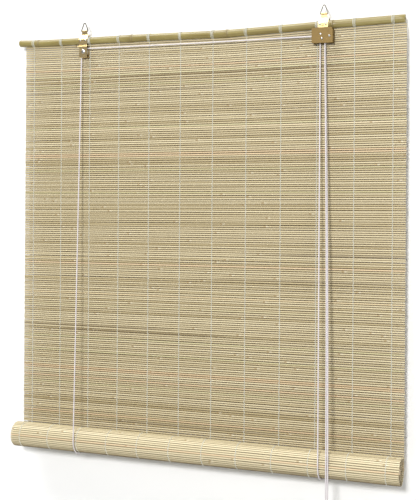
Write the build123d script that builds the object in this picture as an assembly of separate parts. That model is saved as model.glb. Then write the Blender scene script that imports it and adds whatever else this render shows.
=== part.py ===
from build123d import *
import math
import os

# Bamboo roll up blind, half rolled up. Millimetres, X to the right, Y to the back, Z up.
# The origin is midway between the two hanging rings, where the wall hooks bear.
# "Drop" below is a height under the centre line of the head pole.

# Mat
mat_width = 800.0
mat_offset = 7.5             # the mat's middle, right of the midpoint of the rings
slat_pitch = 4.1
slat_gap = 0.5               # valley between two slats
slat_thickness = 1.8
slat_core = 0.7              # thickness left in a valley
slat_chamfer = 0.4
mat_top_gap = 1.2            # between the mat's top edge and the pole
slot_height = 1.0
slot_margin = 34.0           # solid edge beside the slots
slots_every = 2              # every second valley is open
hanging_drop = 811.0         # from the pole to the middle of the roll

# Warp threads that bind the slats
thread_count = 12
thread_first = 21.0          # the first thread from the mat's left edge
thread_last = 24.4           # the last thread from the mat's right edge
thread_pitch_growth = 0.6    # each pitch is this much wider than the last
thread_width = 1.2
thread_thickness = 0.35

# Head pole, a natural cane, and its joints as (distance from its left end, rise)
pole_drop = 36.0             # from the hook's bearing point to the pole
pole_left_reach = 14.0       # past the mat's left edge
pole_right_inset = 3.0       # short of the mat's right edge
pole_left_rise = 4.0
pole_right_rise = 1.4
pole_joint_places = [(45.5, 1.27), (262.0, -0.9), (467.0, -4.5), (676.5, -0.402)]
pole_radius = 7.5
pole_taper = 0.4             # thinner at the left end and thicker at the right by this
pole_ring_height = 0.9       # swelling at a joint of the cane
pole_ring_width = 6.0
pole_bore_radius = 2.7
pole_bore_depth = 60.0
tie_gap = 0.15
tie_thickness = 0.5
tie_width = 1.6

# Roll
roll_turn_pitch = 2.4        # from one turn to the next
rod_radius = 6.0
rod_inset = 3.0              # the rod's ends lie this far inside the mat's edges
rod_gap = 0.25
roll_seam_gap = 0.3          # between the hanging mat and the roll
band_gap = 0.08              # the roll's threads outside its slats

# Hanging rings
ring_spacing = 506.0
ring_wire_radius = 1.1
ring_height = 16.6           # from the base wire to the top wire, centre lines
ring_half_angle = 21.5
ring_top_bend = 2.2
ring_base_bend = 1.2
ring_joint_gap = 0.4         # open butt of the wire, inside the eye

# Hanger straps, folded over the pole
sheet = 0.8
sheet_bend = 1.3             # centre line radius of a fold
eye_clearance = 0.08
eye_width = 11.6
neck_width = 13.0
neck_thickness = 1.7
neck_step = 1.2              # height of the step from the neck to the strap's full width
strap_width = 19.5
strap_gap = 0.2              # between the pole and the strap
shoulder_angle = 35.0        # where the shoulder touches the pole, above level
strap_leg_drop = 10.0
ledge_drop = 12.8
back_tab_drop = 12.9
back_tab_reach = 2.4         # inner edge of the back tab, behind the mat's middle
back_hole_y = 4.4
screw_offset = 5.5
screw_rise = 0.6
screw_radius = 1.0
screw_length = 4.5
screw_head_radius = 1.8
screw_head_height = 0.9
fit_clearance = 0.05

# Left pulley and its cage
cage_offset = 4.0            # cage middle, right of the strap's middle
cage_width = 17.5
cage_front_y = -13.5
cage_back_y = -2.9
cage_drop = 35.2
cage_back_top_drop = 12.8
left_pulley_drop = 23.2
left_pulley_run = 6.2        # radius of the cord's centre line round the wheel
left_pulley_radius = 7.6
left_pulley_width = 7.0
left_pulley_y = -8.4
left_axle_radius = 2.0
axle_clearance = 0.05
groove_radius = 1.5

# Cord lock
lock_width = 41.0
lock_offset = 0.5            # lock middle, right of the strap's middle
lock_plate = 1.0
lock_front_y = -14.0         # outer face of the front plate
lock_back_y = -2.4           # outer face of the back plate
lock_top_drop = 6.4
lock_back_top_drop = 10.0
lock_bottom_drop = 35.0
lock_corner = 2.0
cover_left_offset = 1.9      # left edge of the raised cover, right of the strap's middle
cover_top_drop = 10.5
cover_bottom_drop = 35.6
cover_room = 1.9             # between the plates' right edges and the cover's outer face
lock_pulley_offset = -0.5
lock_pulley_drop = 26.8
lock_pulley_run = 5.0
lock_pulley_radius = 6.0
lock_pulley_front_y = -10.4
lock_pulley_back_y = -6.2
lock_pulley_width = 8.2
lock_axle_radius = 1.5
guide_pin_offset = -3.1
guide_pin_drop = 18.3
guide_pin_radius = 1.9
guide_pin_end_radius = 1.2
cam_offset = 13.9
cam_drop = 22.8
cam_hub_radius = 4.3
cam_gap = 0.3                # teeth to cord
cam_tooth_depth = 0.7
cam_growth = 1.2             # the nose reaches this much further at its lower end
cam_tooth_count = 7
cam_nose_start = 172.0       # degrees, 180 points at the cords and more is lower
cam_nose_end = 226.0
rivet_head_radius = 2.1
rivet_head_height = 1.2
rivet_tail_height = 0.7

# Cords
cord_diameter = 2.5
sling_gap = 0.3              # between the roll and the cord under it
left_sling_offset = 9.5      # where the left cord goes under the roll, right of its hanger
right_sling_offset = 8.0
pull_pair_offset = 24.9      # where the two pull cords hang in front of the roll, right of the right hanger
pull_pair_pitch = 3.4
pull_slack = 2.0             # sideways bow of the pull cords
cord_seam = 0.1              # between two lengths of one cord
wrap_share = 0.98            # a cord's bend over its wheel, next to the wheel's own
knot_radius = 2.9

# Put-away end of the pull cords: coil, tie and bell
drop_length = 60.0           # straight stretch from the roll's middle to the coil's tie
coil_radius = 14.5           # middle of the turns
coil_layers = 3
coil_columns = 8
coil_corner = 2.4
tie_band_width = 5.0
tie_band_thickness = 1.0
tie_band_gap = 0.3           # between the tie and the coil
bell_below_coil = 7.0
bell_length = 27.5
bell_radius = 8.8
bell_top_radius = 3.6
bell_bore_radius = 2.9
bell_hollow_radius = 6.2
bell_hollow_depth = 10.5
bell_knot_radius = 4.6
bell_cord_pitch = 2.6

# Values worked out from the sizes above
pole_z = -pole_drop
cord_radius = cord_diameter / 2
mat_left = mat_offset - mat_width / 2
mat_right = mat_offset + mat_width / 2
roll_z = pole_z - hanging_drop
rod_run = rod_radius + rod_gap + slat_thickness / 2
roll_run = 25.35             # radius of the mat's middle where it enters the roll
roll_y = -roll_run
roll_radius = roll_run + slat_thickness / 2
sling_run = roll_radius + sling_gap + cord_radius
left_x = -ring_spacing / 2
right_x = ring_spacing / 2
left_sling_x = left_x + left_sling_offset
right_sling_x = right_x + right_sling_offset
pull_pair_x = right_x + pull_pair_offset
pole_from = -mat_width / 2 - pole_left_reach
pole_joints = [(pole_from, pole_left_rise)]
pole_joints += [(pole_from + place, rise) for place, rise in pole_joint_places]
pole_joints += [(mat_width / 2 - pole_right_inset, pole_right_rise)]


# Helpers
def prism_along_x(points, x_from, x_to):
    """Solid between two planes across X, with a closed outline of (y, z) points."""
    outline = make_face(Polyline(*points, close=True))
    return extrude(Plane.YZ.offset(x_from) * outline, x_to - x_from)


def rod_between(start, end, radius, end_radius=None):
    """Round bar, or cone, between two points."""
    start, end = Vector(*start), Vector(*end)
    length = (end - start).length
    place = Plane(origin=start, z_dir=end - start)
    if end_radius is None:
        bar = Cylinder(radius, length, align=(Align.CENTER, Align.CENTER, Align.MIN))
    else:
        bar = Cone(radius, end_radius, length, align=(Align.CENTER, Align.CENTER, Align.MIN))
    return place * bar


def bar_along_y(x, z, y_from, y_to, radius):
    return rod_between((x, y_from, z), (x, y_to, z), radius)


def dome_towards_front(x, z, y_base, radius, height):
    """Shallow domed head whose flat side is at y_base and whose top points to the front."""
    ball_radius = (radius**2 + height**2) / (2 * height)
    ball = Pos(x, y_base - height + ball_radius, z) * Sphere(ball_radius)
    return ball & bar_along_y(x, z, y_base - height - 1, y_base, radius + 1)


def rivet(x, z, y_front, y_back, shank_radius, head_radius, tail_radius):
    """Rivet through a stack of plates, with a domed head in front and a flat tail behind."""
    shank = bar_along_y(x, z, y_front, y_back, shank_radius)
    head = dome_towards_front(x, z, y_front, head_radius, rivet_head_height)
    tail = bar_along_y(x, z, y_back, y_back + rivet_tail_height, tail_radius)
    return shank + head + tail


def cord_tube(points, radii=None):
    """Cord through the points, straight runs joined by arcs, as large as the runs allow unless given."""
    corners = [Vector(*p) for p in points]
    if radii is None:
        radii = []
        for before, at, after in zip(corners, corners[1:], corners[2:]):
            turn = math.radians((at - before).get_angle(after - at))
            shorter = min((at - before).length, (after - at).length)
            radii.append(0.45 * shorter / math.tan(turn / 2))
    print("cord radii", [round(r, 1) for r in radii])
    return cord_along(FilletPolyline(*corners, radius=radii))


def cord_along(path):
    return sweep(Plane(origin=path @ 0, z_dir=path % 0) * Circle(cord_radius), path=path)


def folded_outline(points, bend, thickness):
    """Closed outline of a bent strip of sheet whose middle follows the points."""
    sides = {1: [], -1: []}
    turns = []
    for i, (px, py) in enumerate(points):
        before = points[max(i - 1, 0)]
        after = points[min(i + 1, len(points) - 1)]
        a = Vector(px - before[0], py - before[1]) if i > 0 else Vector(after[0] - px, after[1] - py)
        b = Vector(after[0] - px, after[1] - py) if i < len(points) - 1 else a
        a, b = a.normalized(), b.normalized()
        normal = Vector(-a.Y - b.Y, a.X + b.X).normalized()
        reach = thickness / 2 / max(0.2, normal.dot(Vector(-a.Y, a.X)))
        if 0 < i < len(points) - 1:
            turns.append(1 if a.X * b.Y - a.Y * b.X > 0 else -1)
        for side in sides:
            sides[side].append((px + side * normal.X * reach, py + side * normal.Y * reach))
    edges = []
    for side, outline in sides.items():
        radii = [bend - side * turn * thickness / 2 for turn in turns]
        edges.append(FilletPolyline(*outline, radius=radii) if radii else Line(*outline))
    caps = [Line(sides[1][end], sides[-1][end]) for end in (0, -1)]
    return make_face(edges + caps)


def pole_at(x):
    """Centre height and radius of the head pole at a place across the blind."""
    along = x - mat_offset
    for (x0, z0), (x1, z1) in zip(pole_joints, pole_joints[1:]):
        if along <= x1 or (x1, z1) == pole_joints[-1]:
            rise = z0 + (z1 - z0) * (along - x0) / (x1 - x0)
            break
    return pole_z + rise, pole_radius + pole_taper * along / (mat_width / 2)


def thread_places():
    """Places of the warp threads across the blind."""
    growth = [thread_pitch_growth * i * (i - 1) / 2 for i in range(thread_count)]
    first_pitch = (mat_width - thread_first - thread_last - growth[-1]) / (thread_count - 1)
    return [mat_left + thread_first + first_pitch * i + growth[i] for i in range(thread_count)]


def under_pole(gap):
    """Line (x, z) that follows the underside of the pole at a distance, past both ends of the mat."""
    line = []
    for along, _ in pole_joints:
        x = mat_offset + along
        z, radius = pole_at(x)
        line.append((x, z - radius - gap))
    return [(mat_offset - mat_width, line[0][1]), *line, (mat_offset + mat_width, line[-1][1])]


def roll_angles():
    """Angles round the roll where one slat ends and the next begins, from the back downwards."""
    angles = [0.0]
    while roll_run - roll_turn_pitch * angles[-1] / (2 * math.pi) > rod_run:
        run = roll_run - roll_turn_pitch * angles[-1] / (2 * math.pi)
        angles.append(angles[-1] + slat_pitch / run)
    return angles[:-1]


def roll_point(angle, outwards):
    """Point (y, z) at an angle round the roll, outwards from the middle of the mat."""
    run = roll_run - roll_turn_pitch * angle / (2 * math.pi) + outwards
    return roll_y + run * math.cos(angle), roll_z - run * math.sin(angle)


def front_tangent(y, z):
    """Where a straight cord from (y, z) first touches the circle of the slings, in front."""
    dy, dz = y - roll_y, z - roll_z
    reach = math.hypot(dy, dz)
    angle = math.atan2(dz, dy) + math.acos(sling_run / reach)
    return roll_y + sling_run * math.cos(angle), roll_z + sling_run * math.sin(angle)


# Head pole
def make_head_pole():
    stretches = []
    for (x0, z0), (x1, z1) in zip(pole_joints, pole_joints[1:]):
        r0, r1 = (pole_at(mat_offset + x)[1] for x in (x0, x1))
        start = (mat_offset + x0, 0, pole_z + z0)
        end = (mat_offset + x1, 0, pole_z + z1)
        stretches.append(rod_between(start, end, r0, r1))
    pole = stretches[0] + stretches[1:]
    for (x0, z0), (x1, z1), (x2, z2) in zip(pole_joints, pole_joints[1:], pole_joints[2:]):
        radius = pole_at(mat_offset + x1)[1]
        direction = Vector(x2 - x0, 0, z2 - z0)
        half = pole_ring_width / 2
        with BuildLine() as profile:
            swell = ThreePointArc((radius - 0.3, -half), (radius + pole_ring_height, 0), (radius - 0.3, half))
            Polyline(swell @ 1, (0, half), (0, -half), swell @ 0)
        ring = revolve(Plane.XZ * make_face(profile.line), Axis.Z)
        pole += Plane(origin=(mat_offset + x1, 0, pole_z + z1), z_dir=direction) * ring
    for (x0, z0), (x1, z1) in (pole_joints[:2], pole_joints[:-3:-1]):
        outer = Vector(mat_offset + x0, 0, pole_z + z0)
        inward = (Vector(mat_offset + x1, 0, pole_z + z1) - outer).normalized()
        start, end = outer - inward, outer + inward * pole_bore_depth
        pole -= rod_between(start, end, pole_bore_radius)
    for x in (left_x, right_x):
        z, radius = pole_at(x)
        for side in (-1, 1):
            deep = strap_leg_y(x) + sheet / 2 - screw_length - fit_clearance
            hole_radius = screw_radius + fit_clearance
            pole -= bar_along_y(x + side * screw_offset, z + screw_rise, -radius - 1, -deep, hole_radius)
    return pole


def pole_reach(x, half):
    """Radius of the pole at a place, with its swelling where a band as wide as 2 * half meets one."""
    nearest = min(abs(mat_offset + joint_x - x) for joint_x, _ in pole_joints[1:-1])
    swelling = pole_ring_height if nearest < half + pole_ring_width / 2 else 0.0
    return pole_at(x)[1] + swelling


# Threads that tie the mat to the pole
def make_pole_ties():
    ties = []
    for x in thread_places():
        z = pole_at(x)[0]
        inner = pole_reach(x, tie_width / 2) + tie_gap
        ring = Cylinder(inner + tie_thickness, tie_width) - Cylinder(inner, tie_width)
        ties.append(Pos(x, 0, z) * Rot(0, 90, 0) * ring)
    return Compound(children=ties)


# Hanging mat
def make_hanging_mat():
    bottom = roll_z + roll_seam_gap
    count = math.ceil((pole_z - bottom) / slat_pitch)
    front = []
    for i in range(count):
        z = bottom + i * slat_pitch
        front.append((-slat_core / 2, z))
        front.append((-slat_core / 2, z + slat_gap))
        front.append((-slat_thickness / 2, z + slat_gap + slat_chamfer))
        front.append((-slat_thickness / 2, z + slat_pitch - slat_chamfer))
    back = [(-y, z) for y, z in reversed(front)]
    mat = prism_along_x(front + back, mat_left, mat_right)
    slots = []
    lowest = min(z for _, z in under_pole(mat_top_gap))
    for i in range(1, int((lowest - bottom) / slat_pitch), slots_every):
        z = bottom + i * slat_pitch + slat_gap / 2
        slots.append(Pos(mat_offset, 0, z) * Box(mat_width - 2 * slot_margin, slat_thickness, slot_height))
    mat -= slots
    line = under_pole(mat_top_gap)
    above = [(line[-1][0], 0), (line[0][0], 0)]
    pole_room = Plane.XZ.offset(-slat_thickness) * make_face(Polyline(*line, *above, close=True))
    return mat - extrude(pole_room, 2 * slat_thickness)


def make_mat_threads():
    strips = []
    bottom = roll_z + roll_seam_gap
    for x in thread_places():
        z, radius = pole_at(x)
        top = z - radius - mat_top_gap
        middle = (top + bottom) / 2
        for side in (-1, 1):
            y = side * (slat_thickness + thread_thickness) / 2
            strips.append(Pos(x, y, middle) * Box(thread_width, thread_thickness, top - bottom))
    return Compound(children=strips)


# Roll
def make_mat_roll():
    angles = roll_angles()
    outer, inner = [], []
    for start, end in zip(angles, angles[1:]):
        share = (slat_gap + slat_chamfer) / slat_pitch * (end - start)
        for outwards, at in ((slat_core / 2, start), (slat_thickness / 2, start + share)):
            outer.append(roll_point(at, outwards))
            inner.append(roll_point(at, -outwards))
        outer.append(roll_point(end - share / 2, slat_thickness / 2))
        inner.append(roll_point(end - share / 2, -slat_thickness / 2))
    return prism_along_x(outer + inner[::-1], mat_left, mat_right)


def make_roll_threads():
    steps = 60
    low = slat_thickness / 2 + band_gap
    angles = [2 * math.pi * i / steps for i in range(steps - 1)]
    outer = [roll_point(a, low + thread_thickness) for a in angles]
    inner = [roll_point(a, low) for a in angles]
    outline = outer + inner[::-1]
    half = thread_width / 2
    return Compound(children=[prism_along_x(outline, x - half, x + half) for x in thread_places()])


def make_bottom_rod():
    ends = [(x, roll_y, roll_z) for x in (mat_left + rod_inset, mat_right - rod_inset)]
    return rod_between(*ends, rod_radius)


# Hanging rings
def make_ring(x):
    base_z = ring_wire_radius - ring_height
    lean = math.radians(ring_half_angle)
    top_corner = ring_wire_radius + ring_top_bend * (1 / math.sin(lean) - 1)
    half_base = (top_corner - base_z) * math.tan(lean)
    half_gap = ring_joint_gap / 2
    points = [(half_gap, base_z), (half_base, base_z), (0, top_corner), (-half_base, base_z), (-half_gap, base_z)]
    bends = [ring_base_bend, ring_top_bend, ring_base_bend]
    path = FilletPolyline(*[(x + px, 0, pz) for px, pz in points], radius=bends)
    wire = Plane(origin=path @ 0, z_dir=path % 0) * Circle(ring_wire_radius)
    return sweep(wire, path=path)


# Hangers
def strap_leg_y(x):
    """Distance of the middle of a strap's leg from the pole's axis."""
    return pole_at(x)[1] + strap_gap + sheet / 2


def make_hanger(x, cage):
    z, _ = pole_at(x)
    leg = strap_leg_y(x)
    lean = math.radians(shoulder_angle)
    leaf_y = (neck_thickness - sheet) / 2
    shoulder_top = z + (leg - leaf_y * math.cos(lean)) / math.sin(lean)
    shoulder_end = z + leg * math.tan(lean / 2)
    eye_z = ring_wire_radius - ring_height
    front = [
        (-leaf_y, shoulder_top + 3),
        (-leaf_y, shoulder_top),
        (-leg, shoulder_end),
        (-leg, z - strap_leg_drop),
    ]
    if cage:
        front += [(cage_front_y, z - ledge_drop), (cage_front_y, z - cage_drop)]
        front += [(cage_back_y, z - cage_drop), (cage_back_y, z - cage_back_top_drop)]
    else:
        tab_y = lock_front_y + lock_plate + sheet / 2
        front += [(tab_y, z - ledge_drop), (tab_y, z - ledge_drop - 3)]
    back = [
        (leaf_y, shoulder_top + 3),
        (leaf_y, shoulder_top),
        (leg, shoulder_end),
        (leg, z - back_tab_drop),
        (back_tab_reach, z - back_tab_drop),
    ]
    across = max(strap_width, cage_width) + 2 * cage_offset
    leaves = None
    for points in (front, back):
        outline = Plane.YZ.offset(x - across / 2) * folded_outline(points, sheet_bend, sheet)
        leaf = extrude(outline, across)
        leaves = leaf if leaves is None else leaves + leaf
    half, neck = strap_width / 2, neck_width / 2
    cage_left, cage_right = cage_offset - cage_width / 2, cage_offset + cage_width / 2
    wide_z = shoulder_top - 1 - neck_step
    ledge_z = z - strap_leg_drop - 0.6
    plate_z = z - ledge_drop - 0.8
    low_z = z - cage_drop - 2
    shape = [(-neck, shoulder_top + 4), (-neck, shoulder_top - 1), (-half, wide_z)]
    if cage:
        shape += [(-half, plate_z), (cage_left, plate_z - 1.5), (cage_left, low_z), (cage_right, low_z)]
        shape += [(cage_right, ledge_z), (half, ledge_z + 0.6)]
    else:
        shape += [(-half, low_z), (half, low_z)]
    shape += [(half, wide_z), (neck, shoulder_top - 1), (neck, shoulder_top + 4)]
    front_view = Plane.XZ.offset(-30) * make_face(Polyline(*[(x + px, pz) for px, pz in shape], close=True))
    hanger = leaves & extrude(front_view, 60)
    neck_top = eye_z - ring_wire_radius - eye_clearance - sheet / 4
    neck_height = neck_top - shoulder_top
    hanger += Pos(x, 0, shoulder_top + neck_height / 2) * Box(eye_width, neck_thickness, neck_height)
    eye_inner = ring_wire_radius + eye_clearance
    eye = Cylinder(eye_inner + sheet, eye_width) - Cylinder(eye_inner, eye_width)
    hanger += Pos(x, 0, eye_z) * Rot(0, 90, 0) * eye
    for side in (-1, 1):
        hole_radius = screw_radius + fit_clearance
        hanger -= bar_along_y(x + side * screw_offset, z + screw_rise, -leg - 1, -leg + 1, hole_radius)
    hole = Cylinder(cord_radius + 3 * fit_clearance, 4 * sheet)
    hanger -= Pos(x, back_hole_y, z - back_tab_drop) * hole
    if cage:
        cage_x = x + cage_offset
        hanger -= bar_along_y(cage_x, z - left_pulley_drop, -20, 0, left_axle_radius + fit_clearance)
        notch_left = cage_x - cage_width / 2 - 1
        notch_right = cage_x - left_pulley_run + cord_radius + 1.2
        notch = Box(notch_right - notch_left, 7.6, 5)
        hanger -= Pos((notch_left + notch_right) / 2, (cage_front_y + cage_back_y) / 2, z - cage_drop) * notch
    return hanger


def make_hanger_screws(x):
    z, _ = pole_at(x)
    face = -strap_leg_y(x) - sheet / 2
    screws = []
    for side in (-1, 1):
        at = x + side * screw_offset
        shank = bar_along_y(at, z + screw_rise, face, face + screw_length, screw_radius)
        head = dome_towards_front(at, z + screw_rise, face, screw_head_radius, screw_head_height)
        slot = Pos(at, face - screw_head_height, z + screw_rise) * Box(2 * screw_head_radius, 0.8, 0.5)
        screws.append(shank + head - slot)
    return Compound(children=screws)


# Pulleys
def make_wheel(x, z, radius, run, width, groove_places, bore_radius):
    """Grooved wheel that turns about an axle along Y."""
    y_middle = sum(groove_places) / len(groove_places)
    wheel = bar_along_y(x, z, y_middle - width / 2, y_middle + width / 2, radius)
    for y in groove_places:
        groove = revolve(Plane.XY * Pos(run, 0, 0) * Circle(groove_radius), Axis.Y)
        mouth = Rectangle(radius, 2 * groove_radius, align=(Align.MIN, Align.CENTER))
        wheel -= Pos(x, y, z) * (groove + revolve(Plane.XY * Pos(run, 0, 0) * mouth, Axis.Y))
    return wheel - bar_along_y(x, z, y_middle - width, y_middle + width, bore_radius)


def make_left_wheel():
    z, _ = pole_at(left_x)
    bore = left_axle_radius + axle_clearance
    place = (left_x + cage_offset, z - left_pulley_drop)
    return make_wheel(*place, left_pulley_radius, left_pulley_run, left_pulley_width, [left_pulley_y], bore)


def make_left_axle():
    z, _ = pole_at(left_x)
    front, back = cage_front_y - sheet / 2, cage_back_y + sheet / 2
    return rivet(left_x + cage_offset, z - left_pulley_drop, front, back, left_axle_radius, 4.2, 3.0)


def make_lock_wheel():
    z, _ = pole_at(right_x)
    grooves = [lock_pulley_front_y, lock_pulley_back_y]
    bore = lock_axle_radius + axle_clearance
    place = (right_x + lock_pulley_offset, z - lock_pulley_drop)
    return make_wheel(*place, lock_pulley_radius, lock_pulley_run, lock_pulley_width, grooves, bore)


# Cord lock
def lock_edges():
    middle = right_x + lock_offset
    return middle - lock_width / 2, middle + lock_width / 2


def lock_sheet(left, right, top, bottom, y_front):
    """Flat plate of the lock with rounded corners, its front face at y_front."""
    middle = Pos((left + right) / 2, y_front + lock_plate, (top + bottom) / 2)
    outline = RectangleRounded(right - left, top - bottom, lock_corner)
    return middle * extrude(Plane.XZ * outline, lock_plate)


def lock_holes(y_from, y_to):
    """The holes that the lock's three rivets need in a plate."""
    z, _ = pole_at(right_x)
    places = [
        (lock_pulley_offset, lock_pulley_drop, lock_axle_radius),
        (guide_pin_offset, guide_pin_drop, guide_pin_end_radius),
        (cam_offset, cam_drop, lock_axle_radius),
    ]
    return [bar_along_y(right_x + dx, z - drop, y_from, y_to, r + fit_clearance) for dx, drop, r in places]


def make_lock_front_plate():
    z, _ = pole_at(right_x)
    left, right = lock_edges()
    plate = lock_sheet(left, right - cover_room, z - lock_top_drop, z - lock_bottom_drop, lock_front_y)
    return plate - lock_holes(lock_front_y - 1, lock_front_y + 2)


def make_lock_back_plate():
    z, _ = pole_at(right_x)
    left, right = lock_edges()
    inner_face = lock_back_y - lock_plate
    plate = lock_sheet(left, right - cover_room, z - lock_back_top_drop, z - lock_bottom_drop, inner_face)
    return plate - lock_holes(lock_back_y - 2, lock_back_y + 1)


def make_lock_cover():
    z, _ = pole_at(right_x)
    right = lock_edges()[1]
    left = right_x + cover_left_offset
    middle_y = lock_front_y - lock_plate / 2
    side_x = right - lock_plate / 2
    points = [(left, middle_y), (side_x, middle_y), (side_x, lock_back_y)]
    outline = folded_outline(points, sheet_bend, lock_plate)
    height = cover_bottom_drop - cover_top_drop
    cover = extrude(Plane.XY.offset(z - cover_bottom_drop) * outline, height)
    z_hole = z - cam_drop
    hole_radius = lock_axle_radius + fit_clearance
    return cover - bar_along_y(right_x + cam_offset, z_hole, lock_front_y - 2, lock_front_y + 1, hole_radius)


def make_lock_axle():
    z, _ = pole_at(right_x)
    place = (right_x + lock_pulley_offset, z - lock_pulley_drop)
    return rivet(*place, lock_front_y, lock_back_y, lock_axle_radius, rivet_head_radius, rivet_head_radius)


def make_guide_pin():
    z, _ = pole_at(right_x)
    place = (right_x + guide_pin_offset, z - guide_pin_drop)
    pin = rivet(*place, lock_front_y, lock_back_y, guide_pin_end_radius, rivet_head_radius, rivet_head_radius)
    inner_front, inner_back = lock_front_y + lock_plate, lock_back_y - lock_plate
    return pin + bar_along_y(*place, inner_front, inner_back, guide_pin_radius)


def make_cam_pin():
    z, _ = pole_at(right_x)
    place = (right_x + cam_offset, z - cam_drop)
    front = lock_front_y - lock_plate
    return rivet(*place, front, lock_back_y, lock_axle_radius, rivet_head_radius, rivet_head_radius)


def make_cam():
    z, _ = pole_at(right_x)
    cord_x = lock_pulley_offset + lock_pulley_run
    reach = cam_offset - cord_x - cord_radius - cam_gap
    steps = 2 * cam_tooth_count
    outline = []
    for i in range(steps + 1):
        out = reach - cam_tooth_depth * ((i + 1) % 2) + cam_growth * i / steps
        outline.append((out, cam_nose_start + (cam_nose_end - cam_nose_start) * i / steps))
    hub_steps = 24
    hub_from, hub_to = cam_nose_end + 20, cam_nose_start + 360 - 20
    for i in range(hub_steps + 1):
        outline.append((cam_hub_radius, hub_from + (hub_to - hub_from) * i / hub_steps))
    points = []
    for out, angle in outline:
        turn = math.radians(angle)
        points.append((out * math.cos(turn), out * math.sin(turn)))
    face = make_face(Polyline(*points, close=True))
    front = lock_pulley_front_y - 2
    width = lock_pulley_back_y + 2 - front
    cam = Pos(right_x + cam_offset, front + width, z - cam_drop) * extrude(Plane.XZ * face, width)
    bore = bar_along_y(right_x + cam_offset, z - cam_drop, front - 1, front + width + 1, lock_axle_radius + axle_clearance)
    return cam - bore


# Lift cords
def left_front_start():
    z, _ = pole_at(left_x)
    return left_x + cage_offset - left_pulley_run, left_pulley_y, z - left_pulley_drop


def right_front_start():
    z, _ = pole_at(right_x)
    x = right_x + lock_pulley_offset - lock_pulley_run
    return x, lock_pulley_back_y, z - lock_bottom_drop


def make_front_cord(start, sling_x):
    y, z = front_tangent(start[1], start[2])
    top, bottom = Vector(*start), Vector(sling_x, y, z)
    seam = (top - bottom).normalized() * cord_seam
    return rod_between(tuple(top - seam), tuple(bottom + seam), cord_radius)


def make_sling(start, sling_x):
    y, z = front_tangent(start[1], start[2])
    path = ThreePointArc((sling_x, y, z), (sling_x, roll_y, roll_z - sling_run), (sling_x, roll_y + sling_run, roll_z))
    return cord_along(path)


def make_back_cord(hanger_x, sling_x):
    z, _ = pole_at(hanger_x)
    top = Vector(hanger_x, back_hole_y, z - back_tab_drop + sheet / 2)
    bottom = Vector(sling_x, roll_y + sling_run, roll_z)
    direction = (top - bottom).normalized()
    return rod_between(tuple(bottom + direction * cord_seam), tuple(top), cord_radius)


def make_lift_cord_knots():
    knots = []
    for x in (left_x, right_x):
        z, _ = pole_at(x)
        seat = z - back_tab_drop + sheet / 2
        ball = Pos(x, back_hole_y, seat + 0.8 * knot_radius) * Sphere(knot_radius)
        above = Pos(x, back_hole_y, seat + 10 + cord_seam) * Box(20, 20, 20)
        knots.append(ball & above)
    return Compound(children=knots)


def lock_exit_z():
    return pole_at(right_x)[0] - lock_bottom_drop


def make_cross_cord():
    """The left lift cord over its pulley, along the pole and over the lock's front groove."""
    x0, y0, z0 = left_front_start()
    x1, y1 = right_x + lock_pulley_offset + lock_pulley_run, lock_pulley_front_y
    z1 = pole_at(right_x)[0] - lock_pulley_drop + lock_pulley_run
    corners = [(x0, y0, z0), (x0, y0, z0 + left_pulley_run), (x1, y1, z1), (x1, y1, lock_exit_z())]
    return cord_tube(corners, [wrap_share * left_pulley_run, wrap_share * lock_pulley_run])


def make_right_lock_cord():
    """The right lift cord over the lock's back groove."""
    x, y = right_x + lock_pulley_offset, lock_pulley_back_y
    z = pole_at(right_x)[0] - lock_pulley_drop
    run, low = lock_pulley_run, lock_exit_z()
    corners = [(x - run, y, low), (x - run, y, z + run), (x + run, y, z + run), (x + run, y, low)]
    return cord_tube(corners, [wrap_share * run, wrap_share * run])


# Pull cords
def pull_cord_points(side):
    """Route of a pull cord from the lock to where it hangs in front of the roll; side is -1 or 1."""
    x0 = right_x + lock_pulley_offset + lock_pulley_run
    y0 = lock_pulley_front_y if side < 0 else lock_pulley_back_y
    z0 = lock_exit_z()
    x1 = pull_pair_x + side * pull_pair_pitch / 2
    y1 = roll_y - sling_run
    points = [(x0, y0, z0 - cord_seam)]
    for share in (0.3, 0.62):
        bow = pull_slack * math.sin(math.pi * share)
        points.append((x0 + (x1 - x0) * share + bow, y0 + (y1 - y0) * share, z0 + (roll_z - z0) * share))
    points.append((x1, y1, roll_z + 14))
    points.append((x1, y1, roll_z + cord_seam))
    return points


def make_pull_drop(side):
    x = pull_pair_x + side * pull_pair_pitch / 2
    y = roll_y - sling_run
    return rod_between((x, y, roll_z), (x, y, roll_z - drop_length), cord_radius)


def coil_centre():
    """The middle of the coil, which hangs below the straight stretch."""
    outer = coil_radius + coil_layers * cord_radius + tie_band_gap + tie_band_thickness
    z = roll_z - drop_length - cord_seam - outer
    return pull_pair_x, roll_y - sling_run, z


def make_pull_coil():
    x, y, z = coil_centre()
    thick, wide = coil_layers * cord_diameter, coil_columns * cord_diameter
    section = Plane.XY * Pos(coil_radius, 0, 0) * RectangleRounded(thick, wide, coil_corner)
    return Pos(x, y, z) * revolve(section, Axis.Y)


def make_coil_tie():
    x, y, z = coil_centre()
    thick = coil_layers * cord_diameter + 2 * tie_band_gap
    wide = coil_columns * cord_diameter + 2 * tie_band_gap
    inner = RectangleRounded(wide, thick, coil_corner)
    outer = RectangleRounded(wide + 2 * tie_band_thickness, thick + 2 * tie_band_thickness, coil_corner + 1)
    sag = coil_radius - math.sqrt(coil_radius**2 - tie_band_width**2 / 4)
    band = extrude(Plane.YZ * (outer - inner), tie_band_width / 2, both=True)
    turns = make_pull_coil()
    return Pos(x, y, z + coil_radius - sag / 2) * band - turns


def bell_top_z():
    return coil_centre()[2] - coil_radius - coil_layers * cord_radius - bell_below_coil


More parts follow.
